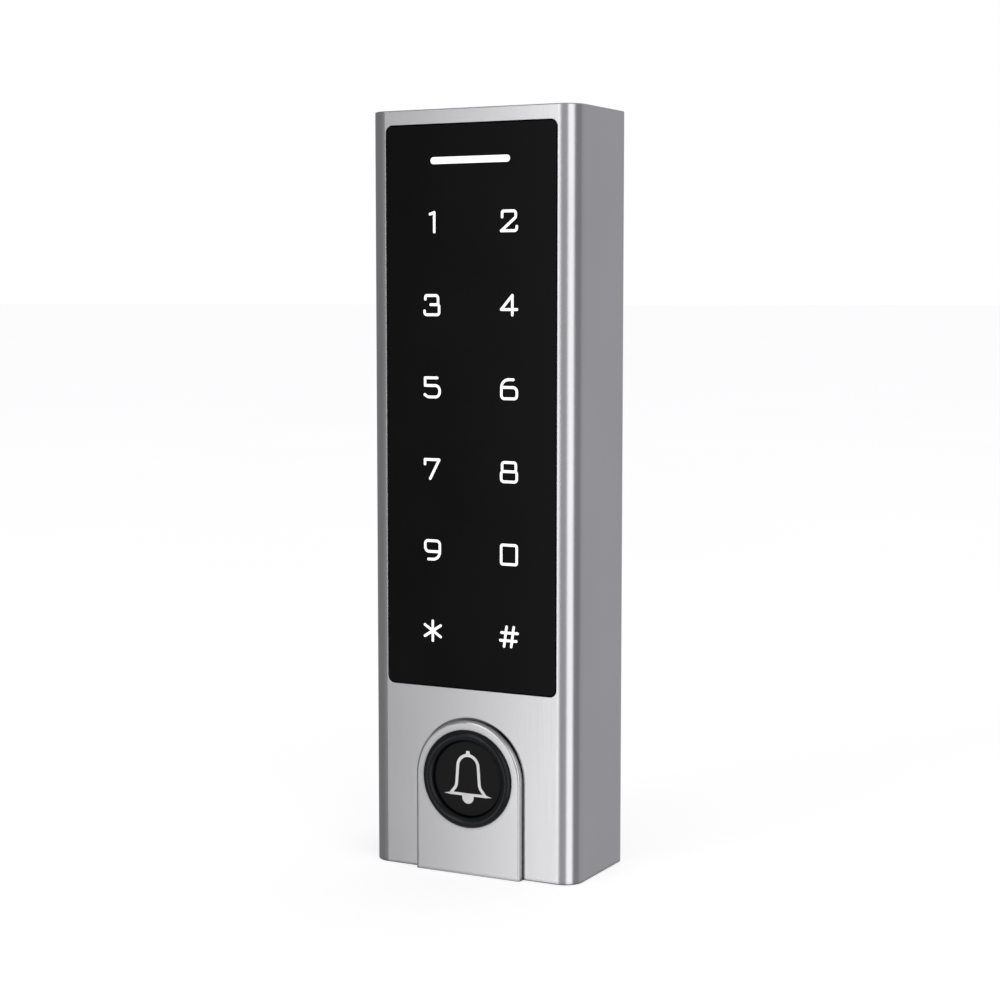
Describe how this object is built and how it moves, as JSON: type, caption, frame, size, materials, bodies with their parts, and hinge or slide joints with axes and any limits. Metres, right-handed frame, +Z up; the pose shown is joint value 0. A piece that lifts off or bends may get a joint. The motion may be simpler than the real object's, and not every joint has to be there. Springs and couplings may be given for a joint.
{
  "type": "keypad access reader",
  "caption": "Slim upright wall keypad reader: satin metal housing, flush black touch panel with lit keys and light bar, and a sprung bell push on a raised arched plate.",
  "frame": {"origin": "centre of the wall bracket's two screw holes, on the wall face of the bracket", "axes": "+Z up, +Y into the wall so the front faces -Y, +X to the right of a person facing the reader"},
  "size_m": [0.044, 0.0242, 0.145],
  "materials": {
    "satin_metal": "satin, finely brushed, on a die-cast zinc shell",
    "plate_metal": "satin, smoother than the housing",
    "panel_black": "gloss black printed touch window",
    "legend_white": "translucent white, lit from behind",
    "tape_black": "adhesive foam tape",
    "light_guide_milky": "milky diffuser",
    "led_white": "moulded light-emitting chip",
    "board_green": "solder-masked glass-fibre board",
    "chip_black": "moulded chip body",
    "tinned_metal": "tinned legs and pads",
    "gold_pin": "plated contact pins",
    "copper_winding": "enamelled copper winding",
    "ferrite_grey": "flexible ferrite sheet",
    "bezel_black": "smooth black bead",
    "cap_black": "fine matt black",
    "icon_silver": "satin silver inlay",
    "white_nylon": "natural nylon",
    "spring_steel": "bright spring wire",
    "steel_screw": "zinc plated",
    "stainless": "stainless sheet",
    "brass_nut": "turned brass",
    "seal_rubber": "soft black seal",
    "cover_plastic": "moulded black plastic",
    "clear_lens": "clear window",
    "relay_blue": "sealed relay case",
    "capacitor_can": "aluminium can",
    "connector_white": "white connector shell"
  },
  "bodies": {
    "reader": {"front_housing": "satin_metal", "touch_panel": "panel_black", "key_legends": "legend_white", "light_bar_lens": "legend_white", "panel_tape": "tape_black", "light_guide": "light_guide_milky", "key_lights": "led_white", "status_lights": "led_white", "touch_board": "board_green", "touch_controller_chip": "chip_black", "antenna_coil": "copper_winding", "ferrite_sheet": "ferrite_grey", "bell_plate": "plate_metal", "bell_plate_screws": "steel_screw", "bell_button_bezel": "bezel_black", "bell_button_guide": "white_nylon", "button_spring": "spring_steel", "bezel_nut_seal": "seal_rubber", "bezel_nut": "brass_nut", "bell_switch_body": "chip_black", "main_board": "board_green", "main_board_screws": "steel_screw", "board_spacers": "white_nylon", "board_header": "gold_pin", "board_socket": "chip_black", "microcontroller": "chip_black", "microcontroller_legs": "tinned_metal", "card_reader_chip": "chip_black", "crystal": "tinned_metal", "voltage_regulator": "chip_black", "power_inductor": "ferrite_grey", "chip_resistors": "chip_black", "tamper_light_sensor": "led_white", "cable_connector": "connector_white", "cable_connector_pins": "gold_pin", "door_relay": "relay_blue", "buzzer": "chip_black", "capacitors": "capacitor_can", "rear_gasket": "seal_rubber", "rear_cover": "cover_plastic", "rear_cover_screws": "steel_screw", "tamper_window": "clear_lens", "cable_grommet": "seal_rubber", "wall_bracket": "stainless", "security_screw": "steel_screw"},
    "bell_button": {"bell_button_cap": "cap_black", "bell_icon": "icon_silver"},
    "switch_plunger": {"bell_switch_plunger": "cap_black"}
  },
  "joints": [
    {"name": "bell_button_press", "type": "slide", "parent": "reader", "child": "bell_button", "axis": [0, 1, 0], "range_m": [0, 0.0008], "stiffness_N_per_m": 800, "springref_m": -0.0006, "deforming": ["button_spring"]},
    {"name": "switch_plunger_press", "type": "slide", "parent": "reader", "child": "switch_plunger", "axis": [0, 1, 0], "range_m": [0, 0.0008]}
  ],
  "couplings": [
    {"joint": "switch_plunger_press", "follows": "bell_button_press", "ratio": 1}
  ]
}
